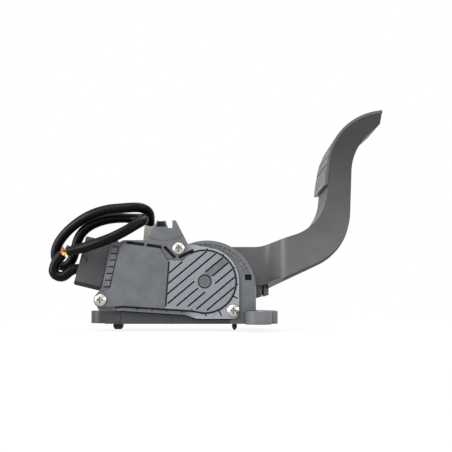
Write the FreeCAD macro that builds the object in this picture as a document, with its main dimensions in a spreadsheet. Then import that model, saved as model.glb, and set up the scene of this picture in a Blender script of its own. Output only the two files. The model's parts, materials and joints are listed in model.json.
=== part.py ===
import FreeCAD, Part
import math
import os
import Sketcher

# Accelerator pedal module, millimetres. X runs along the base towards the pedal, Y away from the sensor cover,
# Z up. The origin lies on the base's underside, midway between the two front bolts.

doc = FreeCAD.newDocument("accelerator_pedal")
sheet = doc.addObject("Spreadsheet::Sheet", "Sizes")

SIZES = {
    # base and bolts
    "base_thick": 8.8,
    "base_left": -104.7,
    "base_right": 14.1,
    "base_corner": 5.0,
    "side_half": 19.5,
    "lug_reach": 27.0,
    "lug_round": 8.8,
    "rear_bolt": 109.6,
    "rear_round": 9.0,
    "bolt_bore": 3.3,
    "sleeve_wall": 1.7,
    "press_gap": 0.02,
    # pivot and the layers across the housing
    "pivot_x": -36.3,
    "pivot_z": 28.9,
    "chamber_floor": -9.0,
    "bay_near": -6.5,
    "bay_far": 16.5,
    "boss_rise": 3.5,
    "boss_round": 8.0,
    # housing outline
    "pod_x": -34.8,
    "pod_z": 23.9,
    "pod_round": 33.6,
    "shoulder_angle": 116.5,
    "shoulder_lift": 0.5,
    "roof_x": -93.0,
    "roof_z": 56.2,
    "brow_x": -100.6,
    "brow_z": 51.0,
    "cheek_x": -106.0,
    "cheek_z": 24.5,
    "bay_left": -79.0,
    "roof_thick": 2.6,
    "rest_left": -66.0,
    "running_gap": 0.3,
    "cell_inner": 27.8,
    "cell_outer": 31.2,
    "cell_step": 13.0,
    "cell_half": 5.0,
    "cell_depth": 0.5,
    "cell_first": 24.0,
    "window_x": -6.5,
    "window_z": 32.0,
    "window_wide": 4.5,
    "window_high": 4.0,
    "window_deep": 8.0,
    "core_deep": 9.0,
    "core_web": 2.5,
    # sensor chamber
    "chamber_left": -94.0,
    "chamber_low": 16.5,
    "chamber_high": 47.0,
    "chamber_round": 18.5,
    "chamber_corner": 6.0,
    "seal_margin": 0.6,
    "seal_wide": 1.6,
    "seal_deep": 1.2,
    "post_round": 2.2,
    # sensor cover
    "flange_thick": 3.0,
    "panel_rise": 1.5,
    "cover_wall": 1.8,
    "screw_left_x": -106.8,
    "screw_left_z": 16.4,
    "screw_top_x": -54.2,
    "screw_top_z": 51.7,
    "screw_right_x": -16.8,
    "screw_right_z": 9.2,
    "lobe_round": 5.2,
    "rim_round": 23.5,
    "disc_round": 20.7,
    "dial_round": 4.0,
    "dial_groove": 0.8,
    "rib_angle": 40.0,
    "rib_pitch": 5.15,
    "rib_shift": 0.5,
    "groove_wide": 1.1,
    "groove_deep": 1.1,
    "tab_top": 71.2,
    "tab_deep": 9.0,
    "notch_low": 65.9,
    "notch_left": -62.3,
    "notch_right": -58.8,
    "notch_lean": 1.6,
    "tab_left": -69.3,
    "tab_right": -56.5,
    "tab_rim": 0.9,
    "recess_x": -64.3,
    "recess_z": 81.4,
    "recess_round": 24.6,
    "recess_deep": 0.8,
    "ladder_low": 25.3,
    "ladder_pitch": 4.57,
    "ladder_gap": 0.8,
    "ladder_rise": 0.5,
    "dash_wide": 0.9,
    "tick_drop": 1.4,
    "shadow_wide": 1.1,
    "shadow_deep": 1.3,
    "ring_gap": 0.3,
    "ring_lead": 0.8,
    "ring_start": -95.0,
    "ring_end": 116.0,
    "stud_x": -97.8,
    "stud_z": 56.0,
    "stud_round": 2.0,
    "hollow_margin": 4.5,
    "slot_wide": 2.2,
    "slot_deep": 2.2,
    # screws
    "screw_head": 4.0,
    "head_rise": 2.6,
    "screw_shank": 1.5,
    "screw_long": 12.0,
    # shaft and bushes
    "shaft_round": 4.0,
    "shaft_gap": 0.05,
    "bush_wall": 1.5,
    "bush_flange": 7.0,
    "flange_rise": 1.0,
    "hub_gap": 0.15,
    "head_round": 6.0,
    "head_thick": 1.6,
    "shaft_near": -15.4,
    # pedal arm
    "hub_round": 17.0,
    "arm_near": -19.0,
    "arm_far": 18.0,
    "arm_wall": 3.0,
    "neck_top": 54.4,
    "neck_low": 26.8,
    "heel_x": -38.0,
    "lift_x": 7.0,
    "knee_x": 63.5,
    "knee_z": 52.0,
    "knee_round": 40.0,
    "shin_x": 66.7,
    "shin_z": 122.2,
    "shin_round": 38.0,
    "toe_x": 88.0,
    "toe_low": 140.0,
    "toe_top": 147.8,
    "brow_bend_x": 54.4,
    "brow_bend_z": 142.0,
    "brow_bend_round": 40.0,
    "bend_x": 46.1,
    "bend_z": 67.9,
    "bend_round": 32.6,
    "crook_x": 2.5,
    "lift_round": 30.0,
    "jog_start": 7.0,
    "jog_end": 21.0,
    "jog_round": 10.0,
    "rib_thick": 2.0,
    "channel_shift": 1.5,
    "brow_ease": 6.0,
    "toe_lean": 1.4,
    "toe_round": 2.0,
    "lip_drop": 2.4,
    "lip_turn": 0.9,
    "lip_share": 0.45,
    "stop_left": 0.6,
    "stop_left_z": 17.95,
    "stop_right": 8.7,
    "stop_right_z": 19.95,
    "stop_slot": 1.5,
    "stop_near": -4.0,
    "stop_far": 12.0,
    # spring drive
    "spring_x": -63.3,
    "spring_y": 5.0,
    "horn_low": 25.0,
    "horn_high": 31.0,
    "horn_left": -73.0,
    "seat_round": 9.3,
    "seat_thick": 2.0,
    "outer_coil": 7.4,
    "outer_wire": 1.8,
    "outer_turns": 5.0,
    "inner_coil": 4.4,
    "inner_wire": 1.3,
    "inner_turns": 6.0,
    # pad
    "pad_thick": 2.2,
    "pad_low": 97.0,
    "pad_near": -19.0,
    "pad_far": 28.5,
    "pad_toe_far": 9.0,
    "plate_thick": 2.4,
    "plate_inset": 0.2,
    "plate_gap": 1.0,
    "pad_lip": 0.6,
    "pad_seat": 0.2,
    "tread_edge": 3.0,
    "tread_rows": 9.0,
    "taper_start": 6.0,
    "tread_first": 175.0,
    "tread_step": 9.0,
    "tread_groove": 0.9,
    "tread_deep": 0.8,
    # sensor parts
    "board_thick": 1.6,
    "board_gap": 0.4,
    "board_seat": 0.3,
    "pin_drop": 5.0,
    "chip_rise": 1.2,
    "rotor_round": 11.0,
    "rotor_thick": 2.5,
    "magnet_rise": 1.5,
    "pin_side": 0.64,
    "pin_pitch": 2.5,
    "pin_lower": 3.4,
    # plug and pegs
    "plug_x": -114.6,
    "plug_z": 41.9,
    "plug_wide": 18.6,
    "plug_high": 34.8,
    "plug_tilt": 13.7,
    "plug_near": -16.0,
    "plug_far": 6.0,
    "plug_gap": 0.05,
    "plug_boss_x": -120.7,
    "plug_boss_z": 44.3,
    "plug_boss": 1.9,
    "nose_half": 10.0,
    "clip_x": -99.2,
    "clip_wide": 6.5,
    "clip_drop": 4.4,
    "peg_x": -15.7,
    "peg_round": 1.8,
    "peg_drop": 5.0,
    # harness
    "sleeve_round": 3.5,
    "wire_round": 0.9,
    "cable_y": -11.0,
    "cable_z": 38.4,
    "cable_seat": -121.2,
    "link_wide": 6.5,
    "link_deep": 6.0,
    "link_long": 12.0,
}


class Size:
    """A number together with the sheet expression that gives it."""

    def __init__(self, value, text):
        self.value = float(value)
        self.text = text

    def __add__(self, other):
        other = as_size(other)
        return Size(self.value + other.value, f"({self.text} + {other.text})")

    def __radd__(self, other):
        return as_size(other) + self

    def __sub__(self, other):
        other = as_size(other)
        return Size(self.value - other.value, f"({self.text} - {other.text})")

    def __rsub__(self, other):
        return as_size(other) - self

    def __mul__(self, other):
        other = as_size(other)
        return Size(self.value * other.value, f"({self.text} * {other.text})")

    def __rmul__(self, other):
        return as_size(other) * self

    def __truediv__(self, other):
        other = as_size(other)
        return Size(self.value / other.value, f"({self.text} / {other.text})")

    def __neg__(self):
        return Size(-self.value, f"(-1 * {self.text})")


def as_size(number):
    """Wrap a plain number so that it can stand beside a Size."""
    if isinstance(number, Size):
        return number
    return Size(number, f"({float(number)!r})")


def root(size):
    return Size(math.sqrt(size.value), f"sqrt({size.text})")


def cosine(degrees):
    return Size(math.cos(math.radians(degrees.value)), f"cos({degrees.text} * 1 deg)")


def sine(degrees):
    return Size(math.sin(math.radians(degrees.value)), f"sin({degrees.text} * 1 deg)")


class SizeSet:
    """The sheet's sizes, each under its alias."""


s = SizeSet()
for row, (alias, number) in enumerate(SIZES.items(), start=1):
    sheet.set(f"A{row}", alias)
    sheet.set(f"B{row}", str(number))
    sheet.setAlias(f"B{row}", alias)
    setattr(s, alias, Size(number, f"Sizes.{alias}"))
doc.recompute()

# Sizes that follow from others
ZERO = as_size(0.0)
side_near = -s.side_half
side_far = s.side_half
pod_right = s.pod_x + s.pod_round
flange_face = side_near - s.flange_thick
panel_face = flange_face - s.panel_rise
sleeve_round = s.bolt_bore + s.sleeve_wall
bush_round = s.shaft_round + s.shaft_gap + s.bush_wall
hub_near = s.bay_near + s.flange_rise + s.hub_gap
hub_far = s.bay_far - s.flange_rise - s.hub_gap
boss_near = s.chamber_floor - s.boss_rise
boss_far = side_far + s.boss_rise
spring_top = s.roof_z - 2 * s.roof_thick
spring_low = s.horn_high + s.seat_thick
board_near = side_near + s.board_seat
board_far = board_near + s.board_thick
pin_level = board_far + s.pin_drop
shoulder_x = s.pod_x + (s.pod_round + s.shoulder_lift) * cosine(s.shoulder_angle)
shoulder_z = s.pod_z + (s.pod_round + s.shoulder_lift) * sine(s.shoulder_angle)


class Corner:
    """A corner of an outline, rounded where a radius is given."""

    def __init__(self, across, up, radius=None):
        self.across = as_size(across)
        self.up = as_size(up)
        self.radius = radius
        self.bulge = 0.0


class Round:
    """An arc of an outline about a known centre: turn 1 bulges out, turn -1 in."""

    def __init__(self, across, up, radius, turn=1):
        self.across = as_size(across)
        self.up = as_size(up)
        self.radius = as_size(radius)
        self.bulge = turn * self.radius.value


class Disc:
    """A full circle."""

    def __init__(self, across, up, radius):
        self.across = as_size(across)
        self.up = as_size(up)
        self.radius = as_size(radius)


def bind(sketch, kind, *args):
    """Add a constraint whose last argument is the Size that drives it."""
    size = args[-1]
    index = sketch.addConstraint(Sketcher.Constraint(kind, *args[:-1], size.value))
    sketch.setExpression(f"Constraints[{index}]", size.text)


def pin_point(sketch, geometry, position, item):
    bind(sketch, "DistanceX", -1, 1, geometry, position, item.across)
    bind(sketch, "DistanceY", -1, 1, geometry, position, item.up)


def add_disc(sketch, disc):
    centre = FreeCAD.Vector(disc.across.value, disc.up.value, 0)
    geometry = sketch.addGeometry(Part.Circle(centre, FreeCAD.Vector(0, 0, 1), disc.radius.value))
    pin_point(sketch, geometry, 3, disc)
    bind(sketch, "Radius", geometry, disc.radius)


def add_loop(sketch, items):
    """Draw a closed outline, counter-clockwise: straight lines that meet at corners or run tangent into arcs."""
    count = len(items)
    centres = [FreeCAD.Vector(item.across.value, item.up.value, 0) for item in items]
    headings = []
    for i, item in enumerate(items):
        following = items[(i + 1) % count]
        step = centres[(i + 1) % count] - centres[i]
        lean = math.asin((following.bulge - item.bulge) / step.Length)
        headings.append(math.atan2(step.y, step.x) - lean)

    def along(angle):
        return FreeCAD.Vector(math.cos(angle), math.sin(angle), 0)

    def left_of(angle):
        return FreeCAD.Vector(-math.sin(angle), math.cos(angle), 0)

    enter, leave, arcs = [], [], []
    for i, item in enumerate(items):
        before, after = headings[i - 1], headings[i]
        turn = math.atan2(math.sin(after - before), math.cos(after - before))
        if isinstance(item, Round):
            start = centres[i] - left_of(before) * item.bulge
            end = centres[i] - left_of(after) * item.bulge
            arcs.append((centres[i], item.radius.value, item.bulge > 0))
        elif item.radius is None:
            start = end = centres[i]
            arcs.append(None)
        else:
            reach = item.radius.value * math.tan(abs(turn) / 2)
            start = centres[i] - along(before) * reach
            end = centres[i] + along(after) * reach
            side = math.copysign(item.radius.value, turn)
            arcs.append((start + left_of(before) * side, item.radius.value, turn > 0))
        enter.append(start)
        leave.append(end)

    lines = []
    for i in range(count):
        lines.append(sketch.addGeometry(Part.LineSegment(leave[i], enter[(i + 1) % count])))
    for i, item in enumerate(items):
        line_in, line_out = lines[i - 1], lines[i]
        if arcs[i] is None:
            sketch.addConstraint(Sketcher.Constraint("Coincident", line_in, 2, line_out, 1))
            pin_point(sketch, line_out, 1, item)
            continue
        centre, radius, left = arcs[i]
        first, last = (enter[i], leave[i]) if left else (leave[i], enter[i])
        angles = [math.atan2(p.y - centre.y, p.x - centre.x) for p in (first, last)]
        circle = Part.Circle(centre, FreeCAD.Vector(0, 0, 1), radius)
        arc = sketch.addGeometry(Part.ArcOfCircle(circle, *angles))
        sketch.addConstraint(Sketcher.Constraint("Tangent", line_in, 2, arc, 1 if left else 2))
        sketch.addConstraint(Sketcher.Constraint("Tangent", line_out, 1, arc, 2 if left else 1))
        bind(sketch, "Radius", arc, item.radius)
        if isinstance(item, Round):
            pin_point(sketch, arc, 3, item)
        else:
            corner = sketch.addGeometry(Part.Point(centres[i]), True)
            sketch.addConstraint(Sketcher.Constraint("PointOnObject", corner, 1, line_in))
            sketch.addConstraint(Sketcher.Constraint("PointOnObject", corner, 1, line_out))
            pin_point(sketch, corner, 1, item)


def make_body(label):
    body = doc.addObject("PartDesign::Body", label)
    body.Label = label
    return body


def make_sketch(body, name, plane, level, shapes):
    """A sketch on one of the body's origin planes, moved to a level along X, Y or Z."""
    sketch = body.newObject("Sketcher::SketchObject", name + "_sketch")
    support = [f for f in body.Origin.OriginFeatures if f.Role == plane + "_Plane"][0]
    sketch.AttachmentSupport = [(support, "")]
    sketch.MapMode = "FlatFace"
    offset = -level if plane == "XZ" else level
    sketch.setExpression("AttachmentOffset.Base.z", offset.text)
    for shape in shapes:
        if isinstance(shape, Disc):
            add_disc(sketch, shape)
        else:
            add_loop(sketch, shape)
    return sketch


def pad(body, name, plane, low, high, shapes):
    """Add the outline between two levels."""
    low, high = as_size(low), as_size(high)
    sketch = make_sketch(body, name, plane, high if plane == "XZ" else low, shapes)
    feature = body.newObject("PartDesign::Pad", name)
    feature.Profile = sketch
    feature.setExpression("Length", (high - low).text)
    doc.recompute()
    return feature


def pocket(body, name, plane, low, high, shapes):
    """Cut the outline between two levels, and make sure that it cut."""
    low, high = as_size(low), as_size(high)
    before = body.Shape.Volume
    sketch = make_sketch(body, name, plane, low if plane == "XZ" else high, shapes)
    feature = body.newObject("PartDesign::Pocket", name)
    feature.Profile = sketch
    feature.setExpression("Length", (high - low).text)
    doc.recompute()
    if body.Shape.Volume >= before - 1e-6:
        raise ValueError(name + " cuts nothing")
    return feature


def revolve(body, name, plane, shapes):
    """Turn a half section about the plane's upright axis."""
    sketch = make_sketch(body, name, plane, ZERO, shapes)
    feature = body.newObject("PartDesign::Revolution", name)
    feature.Profile = sketch
    feature.ReferenceAxis = (sketch, ["V_Axis"])
    feature.Angle = 360
    doc.recompute()
    return feature


def place(item, across=ZERO, deep=ZERO, up=ZERO):
    """Put a body at a point given by Sizes."""
    item.setExpression("Placement.Base.x", as_size(across).text)
    item.setExpression("Placement.Base.y", as_size(deep).text)
    item.setExpression("Placement.Base.z", as_size(up).text)


def group(label, members):
    """Several separate solids of one kind as one sub-part."""
    compound = doc.addObject("Part::Compound", label)
    compound.Links = members
    compound.Label = label
    return compound


def rectangle(left, low, right, high, radius=None):
    return [Corner(left, low, radius), Corner(right, low, radius),
            Corner(right, high, radius), Corner(left, high, radius)]


def ring_section(inner, low, outer, high):
    return rectangle(inner, low, outer, high)


def inset(items, wall):
    """The outline moved inwards by a wall: corners follow their two sides, radii change with them."""
    moved = []
    for i, item in enumerate(items):
        before, after = items[i - 1], items[(i + 1) % len(items)]
        in_x, in_z = item.across - before.across, item.up - before.up
        out_x, out_z = after.across - item.across, after.up - item.up
        in_long = root(in_x * in_x + in_z * in_z)
        out_long = root(out_x * out_x + out_z * out_z)
        cross = (in_x * out_z - in_z * out_x) / (in_long * out_long)
        shift_x = (out_x / out_long - in_x / in_long) / cross * wall
        shift_z = (out_z / out_long - in_z / in_long) / cross * wall
        radius = item.radius
        if radius is not None:
            radius = radius - wall if cross.value > 0 else radius + wall
        moved.append(Corner(item.across + shift_x, item.up + shift_z, radius))
    return moved


# Housing

def wall_outline(with_lobe):
    """Side outline shared by the near body and the far wall."""
    items = [
        Corner(s.base_left, ZERO),
        Corner(pod_right, ZERO),
        Round(s.pod_x, s.pod_z, s.pod_round),
        Corner(shoulder_x, shoulder_z),
        Corner(s.roof_x, s.roof_z),
        Corner(s.brow_x, s.brow_z),
        Corner(s.cheek_x, s.cheek_z),
    ]
    if with_lobe:
        items.append(Round(s.screw_left_x, s.screw_left_z, s.lobe_round))
    return items


def chamber_outline(margin):
    """Sensor chamber, grown or shrunk by a margin."""
    return [
        Corner(s.chamber_left - margin, s.chamber_low - margin, s.chamber_corner + margin),
        Round(s.pivot_x, s.pivot_z, s.chamber_round + margin),
        Corner(s.chamber_left - margin, s.chamber_high + margin, s.chamber_corner + margin),
    ]


def base_plan():
    """Plan of the base with its three bolt lugs."""
    near_lug = [Corner(-s.lug_round, side_near), Round(ZERO, -s.lug_reach, s.lug_round),
                Corner(s.lug_round, side_near)]
    far_lug = [Corner(s.lug_round, side_far), Round(ZERO, s.lug_reach, s.lug_round),
               Corner(-s.lug_round, side_far)]
    rear_lug = [Corner(s.base_left, s.rear_round), Round(-s.rear_bolt, ZERO, s.rear_round),
                Corner(s.base_left, -s.rear_round)]
    return ([Corner(s.base_left, side_near)] + near_lug
            + [Corner(s.base_right, side_near, s.base_corner), Corner(s.base_right, side_far, s.base_corner)]
            + far_lug + [Corner(s.base_left, side_far)] + rear_lug)


BOLTS = [(ZERO, -s.lug_reach), (ZERO, s.lug_reach), (-s.rear_bolt, ZERO)]
SCREWS = [(s.screw_left_x, s.screw_left_z), (s.screw_top_x, s.screw_top_z),
          (s.screw_right_x, s.screw_right_z)]
POSTS = [(-82.0, 21.0), (-82.0, 43.0), (-62.0, 31.5)]


def cell_outline(index):
    """One of the shallow cells on the near face, round the pod's edge."""
    middle = s.cell_first + s.cell_step * index
    corners = []
    for radius, side in ((s.cell_inner, -1), (s.cell_outer, -1), (s.cell_outer, 1), (s.cell_inner, 1)):
        angle = middle + s.cell_half * side
        corners.append(Corner(s.pod_x + radius * cosine(angle), s.pod_z + radius * sine(angle)))
    return corners


def make_housing():
    body = make_body("housing")
    pad(body, "base", "XY", ZERO, s.base_thick, [base_plan()])
    pad(body, "near_body", "XZ", side_near, s.bay_near, [wall_outline(True)])
    pad(body, "far_wall", "XZ", s.bay_far, side_far, [wall_outline(False)])
    left_block = [
        Corner(s.base_left, ZERO), Corner(s.bay_left, ZERO), Corner(s.bay_left, s.roof_z - s.roof_thick),
        Corner(s.roof_x, s.roof_z), Corner(s.brow_x, s.brow_z), Corner(s.cheek_x, s.cheek_z),
    ]
    pad(body, "left_block", "XZ", s.bay_near, s.bay_far, [left_block])
    roof = [
        Corner(s.bay_left, spring_top), Corner(shoulder_x, spring_top),
        Corner(shoulder_x, shoulder_z), Corner(s.bay_left, s.roof_z - s.roof_thick / 2),
    ]
    pad(body, "roof", "XZ", s.bay_near, s.bay_far, [roof])
    rest = rectangle(s.bay_left, ZERO, s.rest_left, s.horn_low - s.running_gap)
    pad(body, "idle_rest", "XZ", s.bay_near, s.bay_far, [rest])
    pad(body, "far_boss", "XZ", side_far, boss_far, [Disc(s.pivot_x, s.pivot_z, s.boss_round)])
    for i, (across, up) in enumerate(((-96.1, 4.0), (-61.7, 2.9))):
        square = rectangle(as_size(across - 1.9), as_size(up - 2.2), as_size(across + 1.9), as_size(up + 2.2))
        pad(body, f"front_square_{i}", "XZ", side_near - 0.6, side_near, [square])
    pocket(body, "chamber", "XZ", side_near, s.chamber_floor, [chamber_outline(ZERO)])
    pad(body, "near_boss", "XZ", boss_near, s.chamber_floor, [Disc(s.pivot_x, s.pivot_z, s.boss_round)])
    posts = [Disc(across, up, s.post_round) for across, up in POSTS]
    pad(body, "board_posts", "XZ", board_far, s.chamber_floor, posts)
    groove = [chamber_outline(s.seal_margin + s.seal_wide), chamber_outline(s.seal_margin)]
    pocket(body, "seal_groove", "XZ", side_near, side_near + s.seal_deep, groove)
    shaft_hole = [Disc(s.pivot_x, s.pivot_z, bush_round + s.press_gap)]
    pocket(body, "near_bore", "XZ", boss_near, s.bay_near, shaft_hole)
    pocket(body, "far_bore", "XZ", s.bay_far, boss_far, shaft_hole)
    pilots = [Disc(across, up, s.screw_shank + s.press_gap) for across, up in SCREWS]
    pocket(body, "screw_pilots", "XZ", side_near, side_near + s.screw_long - s.flange_thick, pilots)
    bolts = [Disc(across, deep, sleeve_round + s.press_gap) for across, deep in BOLTS]
    pocket(body, "bolt_holes", "XY", ZERO, s.base_thick, bolts)
    cells = [cell_outline(i) for i in range(7)]
    pocket(body, "cells", "XZ", side_near, side_near + s.cell_depth, cells)
    window = rectangle(s.window_x - s.window_wide / 2, s.window_z - s.window_high / 2,
                       s.window_x + s.window_wide / 2, s.window_z + s.window_high / 2)
    pocket(body, "window", "XZ", side_near, side_near + s.window_deep, [window])
    shadow = strip(SHADOW_GAP, s.shadow_wide)
    pocket(body, "cover_gap", "XZ", side_near, side_near + s.shadow_deep, [shadow])
    cores = []
    core_left, core_right = s.base_left + 2 * s.core_web, s.bay_left - s.core_web
    core_wide = (core_right - core_left - s.core_web) / 2
    core_high = (s.brow_z - s.base_thick - 3 * s.core_web) / 2
    for column in range(2):
        for row in range(2):
            left = core_left + (core_wide + s.core_web) * column
            low = s.base_thick + (core_high + s.core_web) * row
            cores.append(rectangle(left, low, left + core_wide, low + core_high, as_size(1.5)))
    pocket(body, "far_cores", "XZ", side_far - s.core_deep, side_far, cores)
    slot = rectangle(s.cheek_x - 3, pins_low() - 2, s.chamber_left + 2, pins_high() + 2)
    pocket(body, "pin_slot", "XZ", pin_level - 1.5, pin_level + 1.5, [slot])
    return body


def pins_low():
    return s.plug_z - s.pin_lower - s.pin_pitch * 2.5 - s.pin_side / 2


def pins_high():
    return s.plug_z - s.pin_lower + s.pin_pitch * 2.5 + s.pin_side / 2


def make_sleeves():
    sleeves = []
    for i, (across, deep) in enumerate(BOLTS):
        body = make_body(f"mount_sleeve_{i}")
        revolve(body, f"sleeve_{i}", "XZ", [ring_section(s.bolt_bore, ZERO, sleeve_round, s.base_thick)])
        place(body, across, deep)
        sleeves.append(body)
    return group("mount_sleeves", sleeves)


def make_pegs():
    clip = make_body("locating_clip")
    half = s.clip_wide / 2
    outline = [Corner(s.clip_x - half + 1.2, -s.clip_drop), Corner(s.clip_x + half - 1.2, -s.clip_drop),
               Corner(s.clip_x + half, -s.clip_drop + 1.6), Corner(s.clip_x + half, ZERO),
               Corner(s.clip_x - half, ZERO), Corner(s.clip_x - half, -s.clip_drop + 1.6)]
    pad(clip, "clip_body", "XZ", as_size(-2.5), as_size(2.5), [outline])
    pin = make_body("locating_pin")
    section = [Corner(ZERO, -s.peg_drop), Corner(s.peg_round * 0.4, -s.peg_drop),
               Corner(s.peg_round, -s.peg_drop + 2), Corner(s.peg_round, ZERO), Corner(ZERO, ZERO)]
    revolve(pin, "pin_body", "XZ", [section])
    place(pin, s.peg_x)
    return [clip, pin]


# Sensor cover

def tab_crown():
    """The notched top of the cover's tab, from right to left."""
    return [Corner(s.tab_right, s.tab_top), Corner(s.notch_right, s.tab_top), Corner(s.notch_right, s.notch_low),
            Corner(s.notch_left, s.notch_low), Corner(s.notch_left - s.notch_lean, s.tab_top),
            Corner(s.tab_left, s.tab_top)]


def flange_outline():
    return [
        Round(s.screw_left_x, s.screw_left_z, s.lobe_round),
        Corner(-95.2, 9.2), Corner(-49.7, 6.2), Corner(-41.5, 3.6),
        Corner(s.pivot_x + s.rim_round, as_size(3.6), as_size(4.5)),
        Round(s.pivot_x, s.pivot_z, s.rim_round),
        Corner(-48.1, 55.1), *tab_crown(), Corner(-76.5, 57.4), Corner(-92.3, 57.4), Corner(-100.9, 53.0),
        Corner(-106.8, 24.5),
    ]


# Rows of the ribbed disc: row number, then where its groove starts and ends along the row.
DISC_GROOVES = [
    (4, -15.1, -3.0), (3, -20.7, 15.0), (2, -25.4, 19.5), (1, -29.0, -5.2), (1, 4.6, 22.0), (0, -25.3, -6.4),
    (0, 6.4, 23.0), (-1, -19.5, -4.4), (-1, 4.4, 21.8), (-2, -16.4, 19.4), (-3, -11.4, 15.0),
]
COVER_SLOTS = [
    ((-90.0, 55.8), (-78.0, 54.2)), ((-76.2, 54.0), (-66.0, 52.5)), ((-64.2, 53.0), (-56.6, 45.2)),
    ((-54.2, 45.4), (-44.0, 50.4)),
]
# The groove under the panel's lower edge, from left to right.
SILL = [(-97.5, 10.9), (-92.5, 11.7), (-62.9, 9.8), (-46.5, 8.8), (-38.4, 7.7)]
RIBS_EDGE = ((-60.7, 42.6), (-62.7, 12.2))
# Dashes across the rim: angle round the disc and how far out each one runs.
RIM_DASHES = [(-27.0, 25.4), (-63.8, 26.0), (86.0, 22.9), (55.0, 22.9), (25.0, 22.9), (-5.0, 22.9), (-88.0, 23.6)]
SILL_TICKS = [(-82.1, 11.0), (-72.1, 10.4), (-62.2, 9.8), (-51.8, 9.1)]
# The gap below the cover's lower edge, from left to right.
SHADOW_GAP = [(-94.0, 8.8), (-49.7, 5.9), (-41.5, 3.3), (-17.5, 3.3)]


def strip(points, wide):
    """A band along points that run from left to right."""
    low = [Corner(across, up - wide / 2) for across, up in points]
    high = [Corner(across, up + wide / 2) for across, up in points]
    return low + high[::-1]


def ring_groove():
    """The groove round the disc's free side."""
    inner = s.disc_round + s.ring_gap
    outer = inner + s.groove_wide

    def lead(radius, angle, side):
        run, rise = cosine(angle), sine(angle)
        return Corner(s.pivot_x + run * radius - rise * s.ring_lead * side,
                      s.pivot_z + rise * radius + run * s.ring_lead * side)

    return [lead(outer, s.ring_start, -1), Round(s.pivot_x, s.pivot_z, outer), lead(outer, s.ring_end, 1),
            lead(inner, s.ring_end, 1), Round(s.pivot_x, s.pivot_z, inner, -1), lead(inner, s.ring_start, -1)]


def rim_dash(degrees, reach):
    """A dash from the ring groove outwards."""
    run, rise = cosine(as_size(degrees)), sine(as_size(degrees))
    inner = s.disc_round + s.ring_gap + s.groove_wide / 2
    return bar((s.pivot_x + run * inner, s.pivot_z + rise * inner),
               (s.pivot_x + run * reach, s.pivot_z + rise * reach), s.dash_wide)


def sill_tick(across, up):
    """A short dash below the sill groove."""
    return rectangle(across - s.dash_wide / 2, up - s.tick_drop, across + s.dash_wide / 2, as_size(up))


def ladder_left(up):
    """The ladder's left edge at a height."""
    slope = (s.brow_x - s.cheek_x) / (s.brow_z - s.cheek_z)
    return s.cheek_x + (up - s.cheek_z) * slope


def bar(start, end, wide):
    """A straight strip between two points."""
    ahead_x, ahead_z = end[0] - start[0], end[1] - start[1]
    long = root(ahead_x * ahead_x + ahead_z * ahead_z)
    side_x, side_z = ahead_z / long * wide / 2, ahead_x / long * wide / 2
    return [Corner(start[0] + side_x, start[1] - side_z), Corner(end[0] + side_x, end[1] - side_z),
            Corner(end[0] - side_x, end[1] + side_z), Corner(start[0] - side_x, start[1] + side_z)]


def disc_point(along, aside):
    """A point of the disc, given along and across its rows."""
    lean, run = sine(s.rib_angle), cosine(s.rib_angle)
    return s.pivot_x + run * along - lean * aside, s.pivot_z + lean * along + run * aside


def disc_groove(row, start, end):
    aside = s.rib_pitch * row - s.rib_shift
    return bar(disc_point(start, aside), disc_point(end, aside), s.groove_wide)


def ladder_step(index):
    """One raised step in the ladder along the cover's left edge."""
    low = s.ladder_low + s.ladder_pitch * index + s.ladder_gap / 2
    high = low + s.ladder_pitch - s.ladder_gap
    reach = s.ladder_pitch
    return [Corner(ladder_left(low) + s.ladder_gap, low), Corner(ladder_left(low) + reach, low),
            Corner(ladder_left(high) + reach, high), Corner(ladder_left(high) + s.ladder_gap, high)]


def ladder_rung(index):
    """The slot below one of the ladder's steps."""
    up = s.ladder_low + s.ladder_pitch * index
    start = ladder_left(up) + s.ladder_gap / 2
    return bar((start, up), (start + s.ladder_pitch, up), s.ladder_gap)


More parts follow.
